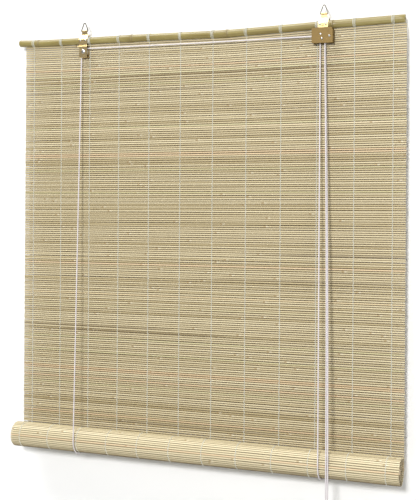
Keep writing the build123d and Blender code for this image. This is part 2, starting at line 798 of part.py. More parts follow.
def make_cord_ends():
    x, y, z = coil_centre()
    top = z - coil_radius - coil_layers * cord_radius - cord_seam
    bottom = bell_top_z() - (bell_length - bell_hollow_depth) - cord_seam
    pair = [x + side * bell_cord_pitch / 2 for side in (-1, 1)]
    return Compound(children=[rod_between((px, y, top), (px, y, bottom), cord_radius) for px in pair])


def make_bell():
    x, y, _ = coil_centre()
    top = bell_top_z()
    low = -bell_length
    with BuildLine() as profile:
        shoulder = Spline(
            (bell_top_radius, 0), (bell_top_radius + 1.3, -3.4), (bell_radius - 0.6, low * 0.58),
            (bell_radius, low * 0.8), (bell_radius - 1.3, low),
        )
        inner = [
            (bell_hollow_radius, low),
            (bell_hollow_radius, low + bell_hollow_depth),
            (bell_bore_radius, low + bell_hollow_depth),
            (bell_bore_radius, 0),
        ]
        Polyline(shoulder @ 1, *inner, shoulder @ 0)
    return Pos(x, y, top) * revolve(Plane.XZ * make_face(profile.line), Axis.Z)


def make_bell_knot():
    x, y, _ = coil_centre()
    ceiling = bell_top_z() - bell_length + bell_hollow_depth
    return Pos(x, y, ceiling - 2 * cord_seam - bell_knot_radius) * Sphere(bell_knot_radius)


# Every piece by its name
pieces = {
    "head_pole": make_head_pole,
    "pole_ties": make_pole_ties,
    "hanging_mat": make_hanging_mat,
    "mat_threads": make_mat_threads,
    "mat_roll": make_mat_roll,
    "roll_threads": make_roll_threads,
    "bottom_rod": make_bottom_rod,
    "left_ring": lambda: make_ring(left_x),
    "right_ring": lambda: make_ring(right_x),
    "left_hanger": lambda: make_hanger(left_x, cage=True),
    "right_hanger": lambda: make_hanger(right_x, cage=False),
    "left_hanger_screws": lambda: make_hanger_screws(left_x),
    "right_hanger_screws": lambda: make_hanger_screws(right_x),
    "left_pulley": make_left_wheel,
    "left_pulley_axle": make_left_axle,
    "lock_front_plate": make_lock_front_plate,
    "lock_back_plate": make_lock_back_plate,
    "lock_cover": make_lock_cover,
    "lock_pulley": make_lock_wheel,
    "lock_pulley_axle": make_lock_axle,
    "lock_guide_pin": make_guide_pin,
    "lock_cam": make_cam,
    "lock_cam_pin": make_cam_pin,
    "left_lift_cord_front": lambda: make_front_cord(left_front_start(), left_sling_x),
    "right_lift_cord_front": lambda: make_front_cord(right_front_start(), right_sling_x),
    "left_lift_cord_back": lambda: make_back_cord(left_x, left_sling_x),
    "right_lift_cord_back": lambda: make_back_cord(right_x, right_sling_x),
    "left_cord_sling": lambda: make_sling(left_front_start(), left_sling_x),
    "right_cord_sling": lambda: make_sling(right_front_start(), right_sling_x),
    "lift_cord_knots": make_lift_cord_knots,
    "cross_cord": make_cross_cord,
    "right_lock_cord": make_right_lock_cord,
    "left_pull_cord": lambda: cord_tube(pull_cord_points(-1)),
    "right_pull_cord": lambda: cord_tube(pull_cord_points(1)),
    "left_pull_drop": lambda: make_pull_drop(-1),
    "right_pull_drop": lambda: make_pull_drop(1),
    "pull_cord_coil": make_pull_coil,
    "coil_tie": make_coil_tie,
    "pull_cord_ends": make_cord_ends,
    "pull_bell": make_bell,
    "bell_knot": make_bell_knot,
}

os.makedirs("parts", exist_ok=True)
for name, make in pieces.items():
    export_step(make(), f"parts/{name}.step")
    print("made", name)
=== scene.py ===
import math
import random

import bmesh
import bpy
from mathutils import Matrix, Vector


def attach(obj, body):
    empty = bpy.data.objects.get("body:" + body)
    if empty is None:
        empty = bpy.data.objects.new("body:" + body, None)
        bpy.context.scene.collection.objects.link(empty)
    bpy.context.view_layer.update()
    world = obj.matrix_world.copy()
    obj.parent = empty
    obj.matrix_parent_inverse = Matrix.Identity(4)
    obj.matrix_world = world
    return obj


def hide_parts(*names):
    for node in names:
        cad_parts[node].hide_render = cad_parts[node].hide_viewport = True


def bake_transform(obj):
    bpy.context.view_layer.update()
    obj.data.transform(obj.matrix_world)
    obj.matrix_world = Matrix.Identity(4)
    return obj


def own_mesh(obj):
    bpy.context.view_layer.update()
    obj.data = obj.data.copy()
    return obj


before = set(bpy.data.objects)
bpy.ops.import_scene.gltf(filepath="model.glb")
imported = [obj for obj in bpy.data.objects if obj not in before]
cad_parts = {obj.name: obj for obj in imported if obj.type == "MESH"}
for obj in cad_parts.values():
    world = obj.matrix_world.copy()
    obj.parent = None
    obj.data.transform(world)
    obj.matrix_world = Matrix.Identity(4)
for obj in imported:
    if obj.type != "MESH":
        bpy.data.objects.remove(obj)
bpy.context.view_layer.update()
print("frame loaded")

mm = 0.001


# ---- shader maths ----
class Wire:
    # a socket that takes Python's arithmetic and adds the Math nodes
    def __init__(self, finish, socket):
        self.finish = finish
        self.socket = socket

    def maths(self, operation, *values):
        return self.finish.add("ShaderNodeMath", {"operation": operation}, dict(enumerate(values)))

    def __add__(self, other):
        return self.maths("ADD", self, other)

    def __radd__(self, other):
        return self.maths("ADD", other, self)

    def __sub__(self, other):
        return self.maths("SUBTRACT", self, other)

    def __rsub__(self, other):
        return self.maths("SUBTRACT", other, self)

    def __mul__(self, other):
        return self.maths("MULTIPLY", self, other)

    def __rmul__(self, other):
        return self.maths("MULTIPLY", other, self)

    def __truediv__(self, other):
        return self.maths("DIVIDE", self, other)

    def __pow__(self, other):
        return self.maths("POWER", self, other)

    def fraction(self):
        return self.maths("FRACT", self)

    def size(self):
        return self.maths("ABSOLUTE", self)

    def sine(self):
        return self.maths("SINE", self)

    def under(self, limit, softness):
        # 1 below the limit, 0 above it, with a soft step
        settings = {"interpolation_type": "SMOOTHSTEP"}
        sockets = {"Value": self, "From Min": limit + softness, "From Max": limit - softness}
        return self.finish.add("ShaderNodeMapRange", settings, sockets)


class Finish:
    # one material: a node is added by its type, its settings and what goes into its sockets
    def __init__(self, name):
        self.material = bpy.data.materials.new(name)
        self.material.use_nodes = True
        self.tree = self.material.node_tree
        self.shader = self.tree.nodes["Principled BSDF"]
        self.place = self.add("ShaderNodeTexCoord", {}, {}, "Object")

    def add(self, kind, settings, sockets, out=0):
        node = self.tree.nodes.new(kind)
        for key, value in settings.items():
            if key == "stops":
                elements = node.color_ramp.elements
                while len(elements) < len(value):
                    elements.new(1.0)
                for element, (position, colour) in zip(elements, value):
                    element.position = position
                    element.color = (*colour, 1)
            else:
                setattr(node, key, value)
        for key, value in sockets.items():
            self.plug(node.inputs[key], value)
        return Wire(self, node.outputs[out])

    def plug(self, socket, value):
        if isinstance(value, Wire):
            self.tree.links.new(value.socket, socket)
        elif socket.type == "RGBA" and len(value) == 3:
            socket.default_value = (*value, 1)
        else:
            socket.default_value = value

    def stretched(self, scale, turn=(0, 0, 0)):
        return self.add("ShaderNodeMapping", {}, {"Vector": self.place, "Scale": scale, "Rotation": turn})

    def noise(self, scale, detail=3.0, rough=0.55, turn=(0, 0, 0)):
        sockets = {"Vector": self.stretched(scale, turn), "Scale": 1.0, "Detail": detail, "Roughness": rough}
        return self.add("ShaderNodeTexNoise", {}, sockets)

    def attribute(self, name):
        return self.add("ShaderNodeAttribute", {"attribute_name": name}, {}, "Fac")

    def ramp(self, value, stops):
        return self.add("ShaderNodeValToRGB", {"stops": stops}, {"Fac": value})

    def mix(self, factor, one, other, how="MIX"):
        settings = {"data_type": "RGBA", "blend_type": how}
        return self.add("ShaderNodeMix", settings, {0: factor, 6: one, 7: other}, 2)

    def bump(self, height, distance, strength=1.0):
        sockets = {"Height": height, "Distance": distance, "Strength": strength}
        self.shade({"Normal": self.add("ShaderNodeBump", {}, sockets)})

    def shade(self, sockets):
        for key, value in sockets.items():
            self.plug(self.shader.inputs[key], value)


# ---- finishes ----
def splitBamboo(name, look):
    f = Finish(name)
    tone = f.attribute("tone")
    phase = f.attribute("phase")
    fibres = f.noise((9, 2600, 2600), 3, 0.6)
    streaks = f.noise((2.5, 420, 420), 3, 0.6)
    patches = f.noise((7, 34, 34), 2, 0.5)
    level = tone + (streaks - 0.5) * look["streak"] + (patches - 0.5) * look["patch"]
    colour = f.ramp(level, look["stops"])
    colour = f.mix((fibres - 0.5).size() * look["fibre"], colour, look["fibreColour"])
    # joints of the bamboo: a narrow brown scar with a pale edge, here and there along a slat
    along = f.add("ShaderNodeSeparateXYZ", {}, {"Vector": f.place}, 0)
    step = (along * look["jointsPerMetre"] + phase * 7.0).fraction()
    scar = (step - 0.5).size().under(look["scarWidth"], look["scarWidth"] * 0.6)
    edge = (step - 0.5 - look["scarWidth"] * 2.2).size().under(look["scarWidth"], look["scarWidth"])
    colour = f.mix(edge * 0.35, colour, look["paleColour"])
    colour = f.mix(scar * 0.55, colour, look["scarColour"])
    red = (phase * 13.7).fraction().under(look["redShare"], 0.01)
    colour = f.mix(red * 0.45, colour, look["redColour"])
    green = (phase * 29.3).fraction().under(look["greenShare"], 0.01)
    colour = f.mix(green * 0.4, colour, look["greenColour"])
    # the split edges go dark brown: partly their own darker colour, partly painted shade of the valleys
    # between the slats
    colour = f.mix(f.attribute("edge") ** 0.38, colour, look["edgeAndShadeColour"])
    # the cut ends are paler and show the fibres end on
    normal = f.add("ShaderNodeTexCoord", {}, {}, "Normal")
    facing = f.add("ShaderNodeSeparateXYZ", {}, {"Vector": normal}, 0)
    cut = 1 - facing.size().under(0.7, 0.1)
    dots = f.noise((2600, 2600, 2600), 2, 0.6)
    colour = f.mix(cut, colour, f.mix(dots, look["endColour"], look["endDarkColour"]))
    f.shade({"Base Color": colour, "Roughness": 0.44 + fibres * 0.3, "Specular IOR Level": 0.35})
    f.bump(fibres + streaks * 0.6, look["grainDepth"], 0.6)
    return f.material


def cane(name, look):
    f = Finish(name)
    ring = f.attribute("ring")
    streaks = f.noise((7, 260, 260), 4, 0.6)
    patches = f.noise((10, 30, 30), 3, 0.55)
    fine = f.noise((26, 1800, 1800), 3, 0.6)
    colour = f.ramp(streaks * 0.55 + patches * 0.45, look["stops"])
    colour = f.mix((fine - 0.5).size() * 1.1, colour, look["fibreColour"])
    spots = f.noise((55, 120, 120), 2, 0.5).under(0.3, 0.05)
    colour = f.mix(spots * 0.5, colour, look["spotColour"])
    colour = f.mix(ring, colour, look["ringColour"])
    rough = 0.3 + patches * 0.22
    f.shade({"Base Color": colour, "Roughness": rough, "Coat Weight": 0.12, "Coat Roughness": 0.3})
    f.bump(fine * 0.7 + streaks, 0.00018, 0.5)
    return f.material


def cottonThread(name, colour, dark):
    f = Finish(name)
    fluff = f.noise((900, 900, 900), 3, 0.6)
    strand = f.noise((3500, 3500, 1100), 2, 0.5)
    f.shade({"Base Color": f.mix(fluff * 0.55, colour, dark), "Roughness": 0.85, "Specular IOR Level": 0.2})
    f.bump(strand + fluff * 0.5, 0.0001, 0.5)
    return f.material


def braid(name, look):
    # reads the cord's own UV map: U counts turns of the braid along the cord and V goes round it
    f = Finish(name)
    uv = f.add("ShaderNodeUVMap", {"uv_map": "UVMap"}, {})
    u = f.add("ShaderNodeSeparateXYZ", {}, {"Vector": uv}, 0)
    v = f.add("ShaderNodeSeparateXYZ", {}, {"Vector": uv}, 1)
    turn = 2 * math.pi
    over = ((v * 3.0 + u) * turn).sine()
    under = ((v * 3.0 - u) * turn).sine()
    plait = over * under * 0.5 + 0.5
    yarns = ((v * 18.0 + u * 6.0) * turn).sine() * 0.5 + 0.5
    fluff = f.noise((700, 700, 700), 3, 0.6)
    # painted shade: the braid's grooves are coloured darker than its raised strands
    colour = f.mix(plait * 0.75 + fluff * 0.2, look["grooveShadeColour"], look["colour"])
    colour = f.mix(f.noise((14, 14, 14), 2, 0.5) * 0.35, colour, look["tintColour"])
    f.shade({"Base Color": colour, "Roughness": 0.78, "Specular IOR Level": 0.25, "Sheen Weight": 0.15})
    f.bump(plait + yarns * 0.35 + fluff * 0.4, 0.00022, 0.7)
    return f.material


def metal(name, look):
    f = Finish(name)
    clouds = f.noise((70, 70, 70), 3, 0.6)
    fine = f.noise((900, 900, 900), 3, 0.6)
    scratches = f.noise(look["brushing"], 2, 0.6, (0.2, 0.5, 0.3))
    colour = f.mix(clouds, look["colour"], look["otherColour"])
    stain = f.noise((160, 160, 160), 3, 0.6).under(look["stainShare"], 0.05)
    colour = f.mix(stain * 0.6, colour, look["stainColour"])
    rough = look["roughness"] + (fine - 0.5) * 0.14 + (scratches - 0.5) * 0.16 + stain * 0.18
    f.shade({"Base Color": colour, "Metallic": look["metallic"], "Roughness": rough})
    f.bump(scratches + fine * 0.5, 0.00004, 0.5)
    return f.material


def moulding(name, colour, otherColour):
    f = Finish(name)
    clouds = f.noise((120, 120, 120), 3, 0.6)
    grain = f.noise((2200, 2200, 2200), 2, 0.5)
    f.shade({"Base Color": f.mix(clouds, colour, otherColour), "Roughness": 0.42 + grain * 0.15})
    f.bump(grain, 0.00004, 0.4)
    return f.material


def turnedWood(name, look):
    f = Finish(name)
    rings = f.noise((240, 240, 22), 4, 0.6)
    pores = f.noise((1900, 1900, 160), 2, 0.6)
    colour = f.ramp(rings, look["stops"])
    colour = f.mix(pores.under(0.42, 0.05) * 0.45, colour, look["poreColour"])
    f.shade({"Base Color": colour, "Roughness": 0.34 + pores * 0.12, "Coat Weight": look["varnish"]})
    f.bump(pores, 0.00008, 0.4)
    return f.material


slatLook = {
    "stops": [
        (0.0, (0.17, 0.125, 0.05)),
        (0.08, (0.34, 0.26, 0.12)),
        (0.2, (0.46, 0.38, 0.21)),
        (0.45, (0.58, 0.495, 0.305)),
        (0.68, (0.65, 0.565, 0.36)),
        (0.85, (0.72, 0.63, 0.415)),
        (1.0, (0.77, 0.685, 0.47)),
    ],
    "streak": 0.26,
    "patch": 0.1,
    "fibre": 0.7,
    "fibreColour": (0.5, 0.37, 0.18),
    "jointsPerMetre": 1.3,
    "scarWidth": 0.003,
    "paleColour": (0.9, 0.83, 0.64),
    "scarColour": (0.36, 0.24, 0.1),
    "redShare": 0.06,
    "redColour": (0.68, 0.46, 0.27),
    "greenShare": 0.05,
    "greenColour": (0.6, 0.58, 0.32),
    "edgeAndShadeColour": (0.09, 0.053, 0.018),
    "endColour": (0.78, 0.68, 0.46),
    "endDarkColour": (0.42, 0.32, 0.16),
    "grainDepth": 0.00012,
}
caneLook = {
    "stops": [
        (0.28, (0.14, 0.095, 0.027)),
        (0.42, (0.22, 0.17, 0.05)),
        (0.55, (0.28, 0.23, 0.075)),
        (0.75, (0.36, 0.305, 0.12)),
    ],
    "fibreColour": (0.27, 0.21, 0.08),
    "spotColour": (0.2, 0.14, 0.05),
    "ringColour": (0.2, 0.15, 0.06),
}
brassLook = {
    "colour": (0.56, 0.42, 0.2),
    "otherColour": (0.64, 0.5, 0.27),
    "brushing": (60, 1600, 1600),
    "stainShare": 0.36,
    "stainColour": (0.34, 0.23, 0.09),
    "roughness": 0.34,
    "metallic": 0.9,
}
lockLook = {
    "colour": (0.155, 0.093, 0.016),
    "otherColour": (0.19, 0.118, 0.026),
    "brushing": (60, 1600, 1600),
    "stainShare": 0.3,
    "stainColour": (0.13, 0.075, 0.02),
    "roughness": 0.5,
    "metallic": 0.35,
}
steelLook = {
    "colour": (0.62, 0.61, 0.58),
    "otherColour": (0.72, 0.71, 0.69),
    "brushing": (1500, 1500, 80),
    "stainShare": 0.32,
    "stainColour": (0.34, 0.31, 0.27),
    "roughness": 0.3,
    "metallic": 0.95,
}
wireLook = dict(steelLook, colour=(0.2, 0.19, 0.165), otherColour=(0.3, 0.28, 0.24))
camLook = dict(brassLook, colour=(0.5, 0.36, 0.15), otherColour=(0.58, 0.44, 0.2), roughness=0.42)
cordLook = {
    "colour": (0.74, 0.7, 0.72),
    "grooveShadeColour": (0.5, 0.46, 0.46),
    "tintColour": (0.68, 0.63, 0.66),
}
bellLook = {
    "stops": [(0.3, (0.38, 0.22, 0.09)), (0.5, (0.55, 0.36, 0.17)), (0.7, (0.66, 0.47, 0.25))],
    "poreColour": (0.26, 0.15, 0.06),
    "varnish": 0.35,
}
rodLook = {
    "stops": [(0.3, (0.42, 0.29, 0.13)), (0.5, (0.56, 0.42, 0.22)), (0.7, (0.64, 0.5, 0.29))],
    "poreColour": (0.32, 0.21, 0.1),
    "varnish": 0.0,
}
finishes = {
    "bamboo_slats": splitBamboo("split bamboo", slatLook),
    "bamboo_pole": cane("cane", caneLook),
    "warp_thread": cottonThread("warp cotton", (0.7, 0.7, 0.62), (0.5, 0.5, 0.43)),
    "cord": braid("braided cord", cordLook),
    "brass_sheet": metal("brassed sheet", brassLook),
    "brass_cam": metal("cast brass", camLook),
    "steel_pins": metal("plated steel", steelLook),
    "steel_wire": metal("ring wire", wireLook),
    "pulley_plastic": moulding("pulley plastic", (0.62, 0.57, 0.46), (0.68, 0.62, 0.5)),
    "tie_band": cottonThread("tie strip", (0.78, 0.74, 0.64), (0.6, 0.56, 0.46)),
    "bell_wood": turnedWood("bell wood", bellLook),
    "wood_rod": turnedWood("rod wood", rodLook),
}
lockFinish = metal("lock sheet", lockLook)
print("finishes made")


# ---- making pieces ----
def makePiece(bm, name, body, slotName, nodes, sharpDegrees=35, turnOut=True, flatFaces=False):
    if turnOut:
        bmesh.ops.recalc_face_normals(bm, faces=bm.faces)
    mesh = bpy.data.meshes.new(name)
    bm.to_mesh(mesh)
    bm.free()
    mesh.polygons.foreach_set("use_smooth", [True] * len(mesh.polygons))
    mesh.set_sharp_from_angle(angle=math.radians(sharpDegrees))
    mesh.materials.append(finishes[slotName])
    piece = bpy.data.objects.new(name, mesh)
    bpy.context.scene.collection.objects.link(piece)
    if flatFaces:
        shading = piece.modifiers.new("flatFaces", "WEIGHTED_NORMAL")
        shading.keep_sharp = True
    if body:
        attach(piece, body)
    if nodes:
        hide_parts(*nodes)
    return piece


def addCopy(bm, template, place):
    # another copy of a small mesh, each of its points put in place by a function
    first = len(bm.verts)
    bm.from_mesh(template)
    bm.verts.ensure_lookup_table()
    for i in range(first, len(bm.verts)):
        bm.verts[i].co = place(bm.verts[i].co)


def framesAlong(points):
    # a turning frame at each point of a line, carried along with no twist
    frames = []
    side = None
    for i, p in enumerate(points):
        ahead = (points[min(i + 1, len(points) - 1)] - points[max(i - 1, 0)]).normalized()
        if side is None:
            side = ahead.orthogonal().normalized()
        side = (side - ahead * side.dot(ahead)).normalized()
        frames.append((p, side, ahead.cross(side)))
    return frames


def addTube(bm, points, radius, sides, plait=None, closed=False):
    # tube round a line of points; plait gives the length of one turn of a braid
    uvLayer = bm.loops.layers.uv.verify()
    frames = framesAlong(points)
    rows = len(points)
    reach = [0.0]
    for a, b in zip(points, points[1:]):
        reach.append(reach[-1] + (b - a).length)
    grid = bmesh.ops.create_grid(bm, x_segments=rows - 1, y_segments=sides, size=0.5, calc_uvs=True)
    ends = {0: [], rows - 1: []}
    for v in grid["verts"]:
        row = round((v.co.x + 0.5) * (rows - 1))
        angle = (v.co.y + 0.5) * 2 * math.pi
        out = radius
        if plait:
            turn = reach[row] / plait * 2 * math.pi
            out = radius * (1 + 0.055 * math.sin(3 * angle + turn) * math.sin(3 * angle - turn))
        p, side, up = frames[row]
        v.co = p + side * (out * math.cos(angle)) + up * (out * math.sin(angle))
        if row in ends:
            ends[row].append(v)
    if plait:
        for face in {f for v in grid["verts"] for f in v.link_faces}:
            for loop in face.loops:
                uv = loop[uvLayer].uv
                uv.x = reach[min(rows - 1, round(uv.x * (rows - 1)))] / plait
    seam = [v for v in grid["verts"] if v.is_boundary]
    bmesh.ops.remove_doubles(bm, verts=seam, dist=radius * 0.01)
    if closed:
        return
    for row in ends:
        edges = {e for v in ends[row] if v.is_valid for e in v.link_edges if e.is_boundary}
        bmesh.ops.contextual_create(bm, geom=list(edges))


def splineLine(name, points, resolution):
    # the points of a NURBS curve whose control points are given
    curve = bpy.data.curves.new(name, "CURVE")
    curve.dimensions = "3D"
    curve.resolution_u = resolution
    spline = curve.splines.new("NURBS")
    spline.points.add(len(points) - 1)
    for point, place in zip(spline.points, points):
        point.co = (*place, 1)
    spline.order_u = 3
    spline.use_endpoint_u = True
    spline.resolution_u = resolution
    holder = bpy.data.objects.new(name, curve)
    mesh = bpy.data.meshes.new_from_object(holder)
    line = [v.co.copy() for v in mesh.vertices]
    bpy.data.objects.remove(holder)
    bpy.data.meshes.remove(mesh)
    bpy.data.curves.remove(curve)
    return line


def lineLength(points):
    return sum((b - a).length for a, b in zip(points, points[1:]))


# ---- head pole ----
poleSizes = {
    "drop": 36.0,
    "middle": 7.5,
    "joints": [(-414, 4.0), (-368.5, 1.27), (-152, -0.9), (53, -4.5), (262.5, -0.402), (397, 1.4)],
    "radius": 7.5,
    "taper": 0.4,
    "swelling": 0.85,
    "bore": 2.7,
    "boreDepth": 60.0,
    "sides": 28,
    # where loops lie beside the middle of a joint
    "jointStations": (-9, -5.5, -3.4, -2.2, -1.3, -0.5, 0.3, 1.0, 1.7, 2.4, 3.4, 5, 8, 12),
}


def poleAt(x):
    # centre height and radius of the pole, x in millimetres
    along = x - poleSizes["middle"]
    joints = poleSizes["joints"]
    radius = poleSizes["radius"] + poleSizes["taper"] * along / 400
    for (x0, z0), (x1, z1) in zip(joints, joints[1:]):
        if along <= x1 or x1 == joints[-1][0]:
            t = min(max((along - x0) / (x1 - x0), -0.1), 1.1)
            return z0 + (z1 - z0) * t - poleSizes["drop"], radius


def poleSmooth(x):
    # the same with the kinks at the joints rounded a little
    steps = (-14, -7, 0, 7, 14)
    return sum(poleAt(x + s)[0] for s in steps) / len(steps), poleAt(x)[1]


def makePole():
    s = poleSizes
    middle = s["middle"]
    left, right = (s["joints"][i][0] + middle for i in (0, -1))
    knots = [x + middle for x, _ in s["joints"][1:-1]]
    stations = {left, left + 0.6, right - 0.6, right}
    x = left + 8
    while x < right - 4:
        stations.add(x)
        x += 11
    for k in knots:
        stations.update(k + d for d in s["jointStations"])
    stations = sorted(stations)
    bm = bmesh.new()
    ringLayer = bm.verts.layers.float.new("ring")
    turn = Matrix.Rotation(math.pi / 2, 4, "Y")
    made = bmesh.ops.create_circle(bm, segments=s["sides"], radius=1.0, cap_ends=False, matrix=turn)
    loop = made["verts"]
    unit = [v.co.copy() for v in loop]
    edges = list({e for v in loop for e in v.link_edges})
    rng = random.Random(5)
    lean = {k: rng.uniform(-0.12, 0.12) for k in knots}

    def placeLoop(verts, x):
        z, radius = poleSmooth(x)
        near = min(knots, key=lambda k: abs(k - x))
        d = x - near
        span = min(abs(d) / 70, 1)
        body = radius - 0.22 * math.sin(span * math.pi / 2) + 0.1
        ridge = s["swelling"] * math.exp(-((d / 2.6) ** 2)) + 0.28 * math.exp(-((d + 6) ** 2) / 26)
        groove = 0.42 * math.exp(-(((d - 1.6) / 0.5) ** 2))
        dark = 0.75 * math.exp(-(((d - 1.5) / 1.0) ** 2)) + 0.4 * math.exp(-(((d + 1) / 5.5) ** 2))
        end = min(x - left, right - x)
        trim = 0.5 if end < 0.3 else 0.0
        for v, u in zip(verts, unit):
            angle = math.atan2(u.z, u.y)
            r = body + ridge - groove - trim
            r *= 1 + 0.012 * math.sin(2 * angle + x * 0.004) + 0.006 * math.sin(3 * angle - x * 0.011)
            slant = lean[near] * math.sin(angle) * math.exp(-((d / 6) ** 2)) * 3
            v.co = Vector((x + slant, u.y * r, z + u.z * r)) * mm
            v[ringLayer] = min(1.0, dark)

    placeLoop(loop, stations[0])
    for x in stations[1:]:
        made = bmesh.ops.extrude_edge_only(bm, edges=edges)
        new = [g for g in made["geom"] if isinstance(g, bmesh.types.BMVert)]
        edges = [g for g in made["geom"] if isinstance(g, bmesh.types.BMEdge)]
        order = []
        for old in loop:
            order.append(min(new, key=lambda n: (n.co - old.co).length_squared))
        loop = order
        placeLoop(loop, x)
    # hollow ends: the rim turns inwards and goes down the bore
    for x, inward in ((left, 1), (right, -1)):
        z, radius = poleSmooth(x)
        rim = [e for e in bm.edges if e.is_boundary and abs(e.verts[0].co.x - x * mm) < 0.004]
        for size, depth in ((s["bore"] + 0.5, 0), (s["bore"], 0.7), (s["bore"], s["boreDepth"])):
            made = bmesh.ops.extrude_edge_only(bm, edges=rim)
            new = [g for g in made["geom"] if isinstance(g, bmesh.types.BMVert)]
            rim = [g for g in made["geom"] if isinstance(g, bmesh.types.BMEdge)]
            zIn = poleSmooth(x + inward * depth)[0]
            for v in new:
                out = Vector((0, v.co.y, v.co.z - z * mm)).normalized()
                v.co = Vector(((x + inward * depth) * mm, out.y * size * mm, zIn * mm + out.z * size * mm))
                v[ringLayer] = 0.35
            z = zIn
        bmesh.ops.contextual_create(bm, geom=rim)
    return makePiece(bm, "bambooHeadPole", "head", "bamboo_pole", ["head_pole"], 40)


makePole()
print("pole made")


# ---- slats ----
matSizes = {
    "left": -392.5,
    "right": 407.5,
    "bottom": -846.5,
    "topGap": 0.35,
    "pitch": 4.1,
    "slatHeight": 3.88,
    "slatThickness": 1.8,
    "count": 195,
    "sagDecay": 17.0,      # slats over which the pole's sag dies away
    "wave": 0.16,
    "strayShare": 0.07,
    "strayWave": 0.42,
    "darkShare": 0.07,
    "runDarkness": 0.3,
    "endScatter": 0.9,
    "seed": 11,
}
rollSizes = {
    "y": -25.35,
    "z": -847.0,
    "run": 25.35,
    "turnPitch": 2.4,
    "innerRun": 7.15,
    "wave": 0.3,
    "slatFill": 0.9,        # a slat's height over its share of the turn
    "tone": 0.58,
    "toneShare": 0.45,
    # painted shade on the roll's underside, standing in for the shadow under the roll
    "shadeAngle": 1.75,     # the darker underside, its middle, spread and depth
    "shadeSpread": 0.2,
    "shadeDepth": 1.3,
    # share of the dark split edges kept on the roll away from the painted underside shade
    "edgeShadeLeast": 0.22,
}


def slatTemplate(segments, name):
    # a bar along X from 0 to 1, flat behind and rounded in front
    bm = bmesh.new()
    turn = Matrix.Translation((0.5, 0, 0)) @ Matrix.Rotation(math.pi / 2, 4, "Y")
    bmesh.ops.create_cone(bm, cap_ends=True, segments=8, radius1=1, radius2=1, depth=1, matrix=turn)
    bmesh.ops.rotate(bm, cent=(0, 0, 0), matrix=Matrix.Rotation(math.pi / 8, 3, "X"), verts=bm.verts)
    longEdges = [e for e in bm.edges if abs(e.verts[0].co.x - e.verts[1].co.x) > 0.5]
    if segments > 1:
        bmesh.ops.subdivide_edges(bm, edges=longEdges, cuts=segments - 1, use_grid_fill=True)
    for v in bm.verts:
        y, z = v.co.y, v.co.z
        depth = 0.62 if y > 0 else 0.95
        v.co.y = math.copysign(abs(y) ** depth, y)
        v.co.z = math.copysign(abs(z) ** 0.8, z)
    bmesh.ops.recalc_face_normals(bm, faces=bm.faces)
    mesh = bpy.data.meshes.new(name)
    bm.to_mesh(mesh)
    bm.free()
    return mesh


def slatSpec(rng, wave):
    # one slat's own height, tone and waves
    stray = rng.random() < matSizes["strayShare"]
    size = matSizes["strayWave"] if stray else wave
    waves = [(rng.uniform(0.4, 1.0) * size, rng.uniform(0.5, 1.6), rng.uniform(0, 6.28)) for _ in range(2)]
    darkStart = rng.uniform(-0.2, 0.8)
    share = matSizes["darkShare"]
    return {
        "height": matSizes["slatHeight"] * rng.uniform(0.94, 1.03),
        "thick": matSizes["slatThickness"] * rng.uniform(0.86, 1.0),
        "tone": rng.triangular(0.12, 0.78, 0.46) if rng.random() > 0.03 else 0.2,
        "edge": rng.uniform(0.8, 1.0),
        "darkRun": (darkStart, darkStart + (rng.uniform(0.15, 0.6) if rng.random() < share else 0)),
        "phase": rng.random(),
        "left": matSizes["left"] + rng.uniform(0, 1) * matSizes["endScatter"],
        "right": matSizes["right"] - rng.uniform(0, 1) * matSizes["endScatter"],
        "waves": waves,
        "tilt": rng.uniform(-1, 1),
    }


def slatWave(spec, share):
    return sum(a * math.sin(2 * math.pi * n * share + p) for a, n, p in spec["waves"])


def edgeShade(spec, co):
    # how dark a slat's point is: its split edges, darker in their own colour and with painted shade of the
    # valleys between slats, and its lower half along a dark stretch
    if abs(co.z) > 0.8:
        return spec["edge"]
    start, end = spec["darkRun"]
    return matSizes["runDarkness"] if co.z < 0 and start < co.x < end else 0.0


def addTones(mesh, specs, templates):
    # a tone and a phase for each slat, and how near each point is to the slat's split edges, which carry
    # painted shade between slats as well as their own darker colour
    tones, phases, edges = [], [], []
    for spec, template in zip(specs, templates):
        count = len(template.vertices)
        tones += [spec["tone"]] * count
        phases += [spec["phase"]] * count
        edges += [edgeShade(spec, v.co) for v in template.vertices]
    for name, values in (("tone", tones), ("phase", phases), ("edge", edges)):
        mesh.attributes.new(name, "FLOAT", "POINT").data.foreach_set("value", values)


def matTopAt(x):
    z, radius = poleSmooth(x)
    return z - radius - matSizes["topGap"]


xSamples = [matSizes["left"] + 800 * i / 40 for i in range(41)]
matTopMean = sum(matTopAt(x) for x in xSamples) / len(xSamples)
matStep = (matTopMean - matSizes["bottom"]) / matSizes["count"]


def slatMiddle(fromTop, x):
    # height of the middle of a slat, counted from the top, at a place across the blind
    sag = (matTopAt(x) - matTopMean) * math.exp(-fromTop / matSizes["sagDecay"])
    return matTopMean - (fromTop + 0.5) * matStep + sag


def makeHangingMat():
    rng = random.Random(matSizes["seed"])
    template = slatTemplate(7, "slatTemplate")
    bm = bmesh.new()
    specs = []
    drift = 0.0
    for j in range(matSizes["count"]):
        spec = slatSpec(rng, matSizes["wave"])
        drift = 0.9 * drift + rng.uniform(-0.12, 0.12)
        edge = min(1.0, j / 4, (matSizes["count"] - 1 - j) / 3)

        def place(co, spec=spec, j=j, drift=drift, edge=edge):
            x = spec["left"] + (spec["right"] - spec["left"]) * co.x
            z = slatMiddle(j, x) + (slatWave(spec, co.x) + drift) * edge
            y = co.y * spec["thick"] / 2 + co.z * spec["tilt"] * 0.12
            return Vector((x, y, z + co.z * spec["height"] / 2)) * mm

        addCopy(bm, template, place)
        specs.append(spec)
    piece = makePiece(bm, "hangingSlats", None, "bamboo_slats", ["hanging_mat"], 60, False)
    addTones(piece.data, specs, [template] * len(specs))
    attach(piece, "head")
    return piece


def rollAngles():
    angles = [0.0]
    while True:
        run = rollSizes["run"] - rollSizes["turnPitch"] * angles[-1] / (2 * math.pi)
        if run <= rollSizes["innerRun"]:
            return angles[:-1]
        angles.append(angles[-1] + matSizes["pitch"] / run)


